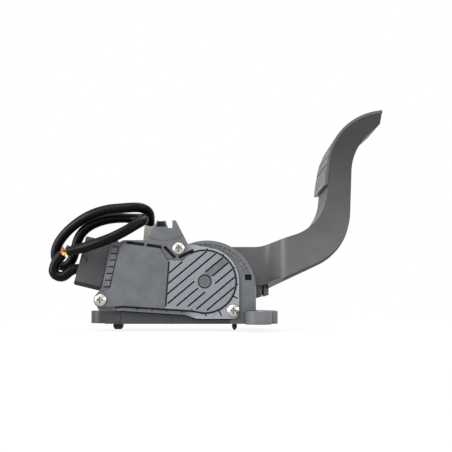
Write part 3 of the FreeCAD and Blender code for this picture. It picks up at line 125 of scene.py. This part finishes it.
class Shader:
    """A material's nodes, with short calls to add and join them."""

    def __init__(self, name):
        self.material = bpy.data.materials.new(name)
        self.material.use_nodes = True
        self.tree = self.material.node_tree
        self.main = self.tree.nodes["Principled BSDF"]
        self.source = self.add("ShaderNodeTexCoord")
        self.place = self.source.outputs["Object"]

    def add(self, kind, **values):
        """A new node, with numbers for its sockets."""
        node = self.tree.nodes.new(kind)
        for socket, value in values.items():
            node.inputs[socket].default_value = value
        return node

    def join(self, source, target):
        self.tree.links.new(source, target)

    def noise(self, scale, detail, rough=0.55):
        node = self.add("ShaderNodeTexNoise", Scale=scale, Detail=detail, Roughness=rough)
        self.join(self.place, node.inputs["Vector"])
        return node.outputs["Fac"]

    def ramp(self, source, stops):
        node = self.add("ShaderNodeValToRGB")
        elements = node.color_ramp.elements
        while len(elements) < len(stops):
            elements.new(0.5)
        for element, (position, colour) in zip(elements, stops):
            element.position = position
            element.color = (*colour, 1.0)
        self.join(source, node.inputs["Fac"])
        return node.outputs["Color"]

    def two_tone(self, source, dark, pale, stops=TWO_STOPS):
        return self.ramp(source, list(zip(stops, (dark, pale))))

    def three_tone(self, source, dark, plain, pale):
        return self.ramp(source, list(zip(THREE_STOPS, (dark, plain, pale))))

    def span(self, source, low, high):
        """The source's run from nought to one, stretched from low to high."""
        node = self.add("ShaderNodeMapRange")
        node.inputs["To Min"].default_value = low
        node.inputs["To Max"].default_value = high
        self.join(source, node.inputs["Value"])
        return node.outputs["Result"]

    def rise(self, source, start, full):
        """Nought up to the start, one from the full value on."""
        node = self.add("ShaderNodeMapRange")
        node.inputs["From Min"].default_value = start
        node.inputs["From Max"].default_value = full
        self.join(source, node.inputs["Value"])
        return node.outputs["Result"]

    def math(self, operation, first, second=0.0):
        """A sum, product or comparison of sources and numbers."""
        node = self.add("ShaderNodeMath")
        node.operation = operation
        for slot, value in zip(node.inputs, (first, second)):
            if isinstance(value, float):
                slot.default_value = value
            else:
                self.join(value, slot)
        return node.outputs[0]

    def both(self, first, second):
        return self.math("MULTIPLY", first, second)

    def between(self, source, low, high):
        return self.both(self.math("GREATER_THAN", source, low), self.math("LESS_THAN", source, high))

    def mix(self, share, first, second):
        """The first colour where the share is nought, the second where it is one."""
        node = self.add("ShaderNodeMix")
        node.data_type = "RGBA"
        self.join(share, node.inputs["Factor"])
        for slot, value in ((node.inputs[6], first), (node.inputs[7], second)):
            if isinstance(value, tuple):
                slot.default_value = (*value, 1.0)
            else:
                self.join(value, slot)
        return node.outputs[2]

    def axes(self, source):
        node = self.add("ShaderNodeSeparateXYZ")
        self.join(source, node.inputs[0])
        return node.outputs

    def faces_front(self, limit):
        return self.math("LESS_THAN", self.axes(self.source.outputs["Normal"])[1], limit)

    def away(self, centre):
        """How far a point lies to the right of a centre and above it."""
        across, _, up = self.axes(self.place)
        return self.math("SUBTRACT", across, centre[0]), self.math("SUBTRACT", up, centre[1])

    def turned(self, run, rise, angle):
        """Two measures taken along a direction and square to it."""
        cosine, sine = math.cos(angle), math.sin(angle)
        along = self.math("ADD", self.math("MULTIPLY", run, cosine), self.math("MULTIPLY", rise, sine))
        aside = self.math("SUBTRACT", self.math("MULTIPLY", rise, cosine), self.math("MULTIPLY", run, sine))
        return along, aside

    def shade_creases(self, colour, reach):
        """The colour, with painted shade darkening it in corners and gaps narrower than the reach in
        millimetres.
        """
        node = self.add("ShaderNodeAmbientOcclusion", Distance=reach * MM)
        node.samples = CREASE_SAMPLES
        return self.mix(self.rise(node.outputs["AO"], CREASE_SHUT, CREASE_OPEN), SHADE_BLACK, colour)

    def bump(self, heights):
        """Stack bumps, each a height source with its strength and distance in millimetres."""
        normal = None
        for source, strength, distance in heights:
            node = self.add("ShaderNodeBump", Strength=strength, Distance=distance * MM)
            self.join(source, node.inputs["Height"])
            if normal is not None:
                self.join(normal, node.inputs["Normal"])
            normal = node.outputs["Normal"]
        self.join(normal, self.main.inputs["Normal"])

    def plastic(self, colour, rough_span, wave, grain, grain_deep=GRAIN_DEEP, reach=WIDE_CREASE):
        """Moulded plastic of a colour, with painted shade in its creases, scuffed sheen, slow waves and fine
        grain.
        """
        self.join(self.shade_creases(colour, reach), self.main.inputs["Base Color"])
        self.main.inputs["Specular IOR Level"].default_value = PLASTIC_GLOSS
        self.join(self.span(self.noise(**SCUFF), *rough_span), self.main.inputs["Roughness"])
        self.bump([(wave, WAVE_STRENGTH, WAVE_DEEP), (grain, GRAIN_STRENGTH, grain_deep)])
        return self.material


def srgb(*values):
    """Linear colour of an sRGB one given from 0 to 255."""
    linear = []
    for value in values:
        share = value / 255.0
        linear.append(share / 12.92 if share <= 0.04045 else ((share + 0.055) / 1.055) ** 2.4)
    return tuple(linear)


def shade(colour, factor):
    return tuple(channel * factor for channel in colour)


# Near-black of painted shade: in creases and gaps, on the floors of the cover's grooves and slots, and along
# the plug's lower edge.
SHADE_BLACK = srgb(16, 16, 18)


def moulded(name, colour, rough, painted_shade=None):
    """Cloudy moulded plastic. The painted shade, if given, darkens parts of the unshaded colour."""
    shader = Shader(name)
    dark, pale = shade(colour, CLOUD_DARK), shade(colour, CLOUD_PALE)
    unshaded = shader.three_tone(shader.noise(**CLOUD), dark, colour, pale)
    if painted_shade is not None:
        unshaded = painted_shade(shader, unshaded)
    rough_span = (rough - SCUFF_SPREAD, rough + SCUFF_SPREAD)
    return shader.plastic(unshaded, rough_span, shader.noise(**WAVE), shader.noise(**FINE))


def metal(name, colour, rough, tint=None):
    """Plated metal with drawn streaks, stained with a tint or only lighter and darker."""
    shader = Shader(name)
    shader.main.inputs["Metallic"].default_value = 1.0
    dark, pale = shade(colour, STAIN_DARK), tint or shade(colour, STAIN_PALE)
    unshaded = shader.three_tone(shader.noise(**STAIN), dark, colour, pale)
    # Painted shade in the metal's creases and gaps.
    shader.join(shader.shade_creases(unshaded, NARROW_CREASE), shader.main.inputs["Base Color"])
    streak = shader.noise(**STREAK)
    shader.join(shader.span(streak, rough - SMEAR_LESS, rough + SMEAR_MORE), shader.main.inputs["Roughness"])
    shader.bump([(streak, STREAK_STRENGTH, STREAK_DEEP)])
    return shader.material


def glossy(name, colour, rough, wrinkle=0.0, gloss=PLASTIC_GLOSS):
    """Smooth soft plastic, as on wires and sleeving."""
    shader = Shader(name)
    dark, pale = shade(colour, TINGE_DARK), shade(colour, TINGE_PALE)
    tone = shader.two_tone(shader.noise(**TINGE), dark, pale)
    shader.join(tone, shader.main.inputs["Base Color"])
    shader.main.inputs["Specular IOR Level"].default_value = gloss
    smear = shader.span(shader.noise(**SMEAR), rough - SMEAR_LESS, rough + SMEAR_MORE)
    shader.join(smear, shader.main.inputs["Roughness"])
    shader.bump([(shader.noise(**FOLD), FOLD_STRENGTH, FOLD_DEEP + wrinkle)])
    return shader.material


# The cover's places, read off the part's sizes: the dial, the plain band beside it, the ribs' left edge
# as a place and a lean, and the depths that part the raised face, the flange and the slots' floors.
PIVOT = (-36.3 * MM, 28.9 * MM)
DIAL_REACH = 4.4 * MM
RIB_ANGLE = math.radians(40.0)
RIB_BAND = (-0.5 * MM, 4.65 * MM)
RIBS_LEAN = 0.0658
RIBS_LEFT = -63.5 * MM
RAISED_LEVEL = -23.3 * MM
FLANGE_LEVEL = -22.65 * MM
SUNK_LEVEL = -21.55 * MM
RIM_START, RIM_FULL = -50.0 * MM, -42.0 * MM
COVER_ROUGH = (0.36, 0.58)
PANEL_DARK, PANEL_PALE = srgb(86, 88, 91), srgb(101, 103, 106)
RIB_DARK, RIB_PALE = srgb(104, 107, 112), srgb(142, 145, 151)
RIM_DARK, RIM_PALE = srgb(128, 131, 136), srgb(158, 161, 166)


def cover_plastic():
    """The cover: plain panel and dial, paler ribs and rim, and painted shade on the floors of its grooves
    and slots.
    """
    shader = Shader("cover_plastic")
    across, deep, up = shader.axes(shader.place)
    speck = shader.noise(**SPECK)
    panel = shader.two_tone(shader.noise(**CLOUD), PANEL_DARK, PANEL_PALE)
    ribs = shader.two_tone(speck, RIB_DARK, RIB_PALE)
    rim = shader.two_tone(speck, RIM_DARK, RIM_PALE)

    run, rise = shader.away(PIVOT)
    along, aside = shader.turned(run, rise, RIB_ANGLE)
    reach = shader.math("SQRT", shader.math("ADD", shader.both(run, run), shader.both(rise, rise)))
    band = shader.both(shader.between(aside, *RIB_BAND), shader.math("GREATER_THAN", along, 0.0))
    plain = shader.math("MAXIMUM", band, shader.math("LESS_THAN", reach, DIAL_REACH))

    edge = shader.math("ADD", shader.math("MULTIPLY", up, RIBS_LEAN), RIBS_LEFT)
    right = shader.math("GREATER_THAN", across, edge)
    ribbed = shader.both(right, shader.math("LESS_THAN", deep, RAISED_LEVEL))
    ribbed = shader.both(ribbed, shader.math("SUBTRACT", 1.0, plain))
    on_rim = shader.both(shader.rise(across, RIM_START, RIM_FULL),
                         shader.math("GREATER_THAN", deep, FLANGE_LEVEL))
    # Painted shade: the front-facing floors of the grooves and slots go near-black.
    groove = shader.both(shader.between(deep, RAISED_LEVEL, FLANGE_LEVEL), right)
    sunk = shader.math("GREATER_THAN", deep, SUNK_LEVEL)
    floor = shader.both(shader.math("MAXIMUM", groove, sunk), shader.faces_front(FRONT))

    colour = shader.mix(ribbed, panel, ribs)
    colour = shader.mix(on_rim, colour, rim)
    colour = shader.mix(floor, colour, SHADE_BLACK)
    return shader.plastic(colour, COVER_ROUGH, shader.noise(**WAVE), speck, reach=NARROW_CREASE)


PLUG_PLACE = (-114.6 * MM, 41.9 * MM)
PLUG_TILT = math.radians(13.7)
PLUG_SHADE_LINE = -14.6 * MM
PLUG_ROUGH = (0.36, 0.56)
PLUG_DARK, PLUG_PALE = srgb(60, 60, 63), srgb(72, 72, 75)


def plug_plastic():
    """The plug: clouded dark plastic, with painted shade along its lower edge."""
    shader = Shader("plug_plastic")
    _, height = shader.turned(*shader.away(PLUG_PLACE), -PLUG_TILT)
    cloud = shader.noise(**CLOUD)
    body = shader.two_tone(cloud, PLUG_DARK, PLUG_PALE)
    # Painted shade: near-black below the shade line, along the plug's lower edge.
    colour = shader.mix(shader.math("LESS_THAN", height, PLUG_SHADE_LINE), body, SHADE_BLACK)
    return shader.plastic(colour, PLUG_ROUGH, cloud, shader.noise(**FINE))


PAD_ROUGH = (0.45, 0.65)
PAD_SHADED_SIDE = srgb(84, 84, 86)
PAD_DARK, PAD_PALE = srgb(84, 85, 87), srgb(158, 159, 160)


def pad_plastic():
    """The pad, with a mottled tread and painted shade on its sides."""
    shader = Shader("pad_plastic")
    tread = shader.two_tone(shader.noise(**MOTTLE), PAD_DARK, PAD_PALE, TREAD_STOPS)
    # Painted shade: faces turned to the front take the darker side colour.
    colour = shader.mix(shader.faces_front(FRONT), tread, PAD_SHADED_SIDE)
    wave, grain = shader.noise(**WAVE), shader.noise(**TREAD_GRAIN)
    return shader.plastic(colour, PAD_ROUGH, wave, grain, TREAD_GRAIN_DEEP)


# Colour and bounds of the painted shadow of the cover on the base's front.
BASE_SHADOW = srgb(59, 60, 62)
BASE_TOP = 8.8 * MM
BASE_END = -19.0 * MM
# Colour and heights of the painted shade that darkens the arm towards its top.
ARM_SHADED_TOP = srgb(50, 50, 51)
ARM_SHADE_FADE = (50.0 * MM, 126.0 * MM)


def shadow_under_cover(shader, unshaded):
    """The housing, with a painted shadow on the base's front below the cover."""
    across, _, up = shader.axes(shader.place)
    below = shader.both(shader.math("LESS_THAN", up, BASE_TOP), shader.math("LESS_THAN", across, BASE_END))
    return shader.mix(shader.both(below, shader.faces_front(BASE_FRONT)), unshaded, BASE_SHADOW)


def shade_towards_toe(shader, unshaded):
    """The arm, with painted shade darkening its upper half."""
    height = shader.axes(shader.place)[2]
    return shader.mix(shader.rise(height, *ARM_SHADE_FADE), unshaded, ARM_SHADED_TOP)


MATERIALS = {
    "housing_plastic": moulded("housing_plastic", srgb(101, 103, 106), rough=0.45, painted_shade=shadow_under_cover),
    "cover_plastic": cover_plastic(),
    "arm_plastic": moulded("arm_plastic", srgb(90, 90, 92), rough=0.46, painted_shade=shade_towards_toe),
    "pad_plastic": pad_plastic(),
    "black_plastic": moulded("black_plastic", srgb(38, 38, 40), rough=0.5),
    "plug_plastic": plug_plastic(),
    "sleeve": glossy("sleeve", srgb(5, 5, 7), rough=0.36, wrinkle=0.25, gloss=0.09),
    "green_wire": glossy("green_wire", srgb(40, 120, 60), rough=0.35),
    "red_wire": glossy("red_wire", srgb(190, 40, 35), rough=0.35),
    "yellow_wire": glossy("yellow_wire", srgb(220, 190, 50), rough=0.35),
    "nylon": glossy("nylon", srgb(252, 249, 236), rough=0.4, gloss=0.5),
    "zinc": metal("zinc", srgb(192, 191, 184), rough=0.3, tint=srgb(208, 192, 142)),
    "steel": metal("steel", srgb(170, 172, 176), rough=0.35),
    "bronze": metal("bronze", srgb(180, 140, 80), rough=0.35),
    "seal_rubber": moulded("seal_rubber", srgb(28, 28, 29), rough=0.7),
    "board": moulded("board", srgb(30, 85, 48), rough=0.5),
}

# CAD nodes

SLOTS = {entry["node"]: entry["material_slot"] for entry in frame["record"]["subparts"]}
SHARP = math.radians(32.0)
BEVEL_SEGMENTS = 2
# Widths in millimetres of the rounded edges.
BEVELS = {
    "housing": 0.5, "sensor_cover": 0.25, "pedal_arm": 0.7, "pedal_pad": 0.35, "harness_plug": 0.5,
    "end_connector": 0.4, "cover_screws": 0.2, "locating_clip": 0.3, "mount_sleeves": 0.25,
}

for node, item in frame["nodes"].items():
    item.data.materials.clear()
    item.data.materials.append(MATERIALS[SLOTS[node]])
    if node in BEVELS:
        bevel = item.modifiers.new("edges", "BEVEL")
        bevel.width = BEVELS[node] * MM
        bevel.segments = BEVEL_SEGMENTS
        bevel.limit_method = "ANGLE"
        bevel.angle_limit = SHARP

# Harness

# The sleeve's route in millimetres, from the bare wires, round the bundle and down to the connector.
MAIN_ROUTE = [
    (-130.5, -21.0, 49.6), (-121.5, -22.5, 51.5), (-110.4, -26.0, 54.6), (-99.8, -28.0, 58.0),
    (-90.8, -26.0, 63.0), (-83.7, -22.0, 68.3), (-79.0, -16.5, 72.2), (-81.0, -8.5, 74.5),
    (-88.5, -4.0, 75.2), (-98.6, -3.5, 75.8), (-108.6, -3.5, 74.6), (-118.1, -2.4, 71.7),
    (-125.5, -1.2, 66.9), (-129.8, -0.6, 60.2), (-131.5, 0.0, 51.9), (-134.0, 1.0, 45.0),
    (-137.8, 1.4, 41.0), (-142.4, 1.4, 41.0), (-145.4, 1.0, 45.2), (-146.0, 0.0, 51.2),
    (-143.5, -1.0, 58.0), (-138.7, -2.5, 63.9), (-132.4, -4.5, 69.4), (-124.6, -7.0, 74.4),
    (-115.8, -9.5, 78.2), (-105.5, -11.5, 80.7), (-95.3, -13.0, 81.2), (-86.2, -13.0, 81.9),
    (-81.5, -10.0, 82.0), (-77.6, -4.5, 80.2), (-77.2, 1.5, 76.6), (-78.0, 4.0, 72.0),
]
SLEEVE_DIAMETER = 7.0
SLEEVE_SIDES = 6
SLEEVE_STEPS = 10


def add_main_sleeve():
    data = bpy.data.curves.new("main_cord", "CURVE")
    data.dimensions = "3D"
    data.bevel_depth = SLEEVE_DIAMETER / 2 * MM
    data.bevel_resolution = SLEEVE_SIDES
    data.resolution_u = SLEEVE_STEPS
    data.use_fill_caps = True
    spline = data.splines.new("NURBS")
    spline.points.add(len(MAIN_ROUTE) - 1)
    for point, place in zip(spline.points, MAIN_ROUTE):
        point.co = (*(value * MM for value in place), 1.0)
    spline.order_u = 3
    spline.use_endpoint_u = True
    cord = bpy.data.objects.new("main_cord", data)
    scene.collection.objects.link(cord)
    data.materials.append(MATERIALS["sleeve"])
    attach(cord, "housing")
    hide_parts("main_sleeve")


add_main_sleeve()

# Return springs


def add_spring(node):
    """A copy of the spring's coil, set in place of its CAD node."""
    spring = bpy.data.objects.new(f"{node}_coil", frame["nodes"][node].data.copy())
    scene.collection.objects.link(spring)
    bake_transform(spring)
    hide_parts(node)


add_spring("return_spring_outer")
add_spring("return_spring_inner")

# Stage

FLOOR_LEVEL = -0.0052
FLOOR_HALF = 4.0
FLOOR_TONE = (0.86, 0.86, 0.87, 1.0)
# The floor's own white is a little weaker near the part, so that its shadow shows.
GLOW_NEAR = 0.88
GLOW_START, GLOW_FULL = 0.12, 0.4
WHITE = (1.0, 1.0, 1.0, 1.0)
FILL_TONE = (0.97, 0.98, 1.0, 1.0)
FILL_STRENGTH = 0.45


def white_when_seen(tree):
    """One where a camera, glossy or transmission ray looks, zero for the rays that light the object."""
    path = tree.nodes.new("ShaderNodeLightPath")
    total = path.outputs["Is Camera Ray"]
    for name in ("Is Glossy Ray", "Is Transmission Ray"):
        node = tree.nodes.new("ShaderNodeMath")
        node.operation = "MAXIMUM"
        tree.links.new(total, node.inputs[0])
        tree.links.new(path.outputs[name], node.inputs[1])
        total = node.outputs[0]
    return total


def join_by_share(tree, share, first, second, output):
    """Send the first shader to the output where the share is nought, and the second where it is one."""
    mix = tree.nodes.new("ShaderNodeMixShader")
    tree.links.new(share, mix.inputs["Fac"])
    tree.links.new(first.outputs[0], mix.inputs[1])
    tree.links.new(second.outputs[0], mix.inputs[2])
    out = tree.nodes.new(output)
    tree.links.new(mix.outputs[0], out.inputs["Surface"])


def floor_material():
    material = bpy.data.materials.new("floor_white")
    material.use_nodes = True
    tree = material.node_tree
    tree.nodes.clear()
    lit = tree.nodes.new("ShaderNodeBsdfDiffuse")
    lit.inputs["Color"].default_value = FLOOR_TONE
    glow = tree.nodes.new("ShaderNodeEmission")
    glow.inputs["Strength"].default_value = 1.0
    place = tree.nodes.new("ShaderNodeTexCoord")
    away = tree.nodes.new("ShaderNodeVectorMath")
    away.operation = "LENGTH"
    tree.links.new(place.outputs["Object"], away.inputs[0])
    fade = tree.nodes.new("ShaderNodeMapRange")
    fade.inputs["From Min"].default_value = GLOW_START
    fade.inputs["From Max"].default_value = GLOW_FULL
    fade.inputs["To Min"].default_value = GLOW_NEAR
    tree.links.new(away.outputs["Value"], fade.inputs["Value"])
    share = tree.nodes.new("ShaderNodeMath")
    share.operation = "MULTIPLY"
    tree.links.new(white_when_seen(tree), share.inputs[0])
    tree.links.new(fade.outputs["Result"], share.inputs[1])
    join_by_share(tree, share.outputs[0], lit, glow, "ShaderNodeOutputMaterial")
    return material


def add_floor():
    mesh = bpy.data.meshes.new("floor")
    corners = [(-FLOOR_HALF, -FLOOR_HALF), (FLOOR_HALF, -FLOOR_HALF), (FLOOR_HALF, FLOOR_HALF),
               (-FLOOR_HALF, FLOOR_HALF)]
    mesh.from_pydata([(*corner, FLOOR_LEVEL) for corner in corners], [], [(0, 1, 2, 3)])
    mesh.materials.append(floor_material())
    floor = bpy.data.objects.new("floor", mesh)
    scene.collection.objects.link(floor)


def add_world():
    world = bpy.data.worlds.new("studio")
    scene.world = world
    world.use_nodes = True
    tree = world.node_tree
    tree.nodes.clear()
    seen = tree.nodes.new("ShaderNodeBackground")
    seen.inputs["Color"].default_value = WHITE
    seen.inputs["Strength"].default_value = 1.0
    fill = tree.nodes.new("ShaderNodeBackground")
    fill.inputs["Color"].default_value = FILL_TONE
    fill.inputs["Strength"].default_value = FILL_STRENGTH
    join_by_share(tree, white_when_seen(tree), fill, seen, "ShaderNodeOutputWorld")


def add_lamp(name, place, target, wide, tall, power, sheen_only=False):
    data = bpy.data.lights.new(name, "AREA")
    data.shape = "RECTANGLE"
    data.size = wide
    data.size_y = tall
    data.energy = power
    lamp = bpy.data.objects.new(name, data)
    lamp.visible_diffuse = not sheen_only
    lamp.location = place
    lamp.rotation_euler = (Vector(target) - Vector(place)).to_track_quat("-Z", "Y").to_euler()
    scene.collection.objects.link(lamp)


PART_MIDDLE = (-0.02, 0.0, 0.05)
ARM_MIDDLE = (0.0, 0.0, 0.06)
ARM_JOG = (0.01, 0.0, 0.04)

add_floor()
add_world()
add_lamp("key_light", (-0.35, -0.55, 0.75), PART_MIDDLE, wide=0.5, tall=0.5, power=7.0)
add_lamp("top_light", (0.15, 0.2, 0.9), PART_MIDDLE, wide=0.6, tall=0.6, power=6.0)
add_lamp("side_light", (0.7, -0.4, 0.35), ARM_MIDDLE, wide=0.4, tall=0.4, power=2.4)
add_lamp("strip_light", (-0.7, -0.36, 0.12), ARM_JOG, wide=0.42, tall=0.63, power=12.0, sheen_only=True)
scene.view_settings.view_transform = "Standard"
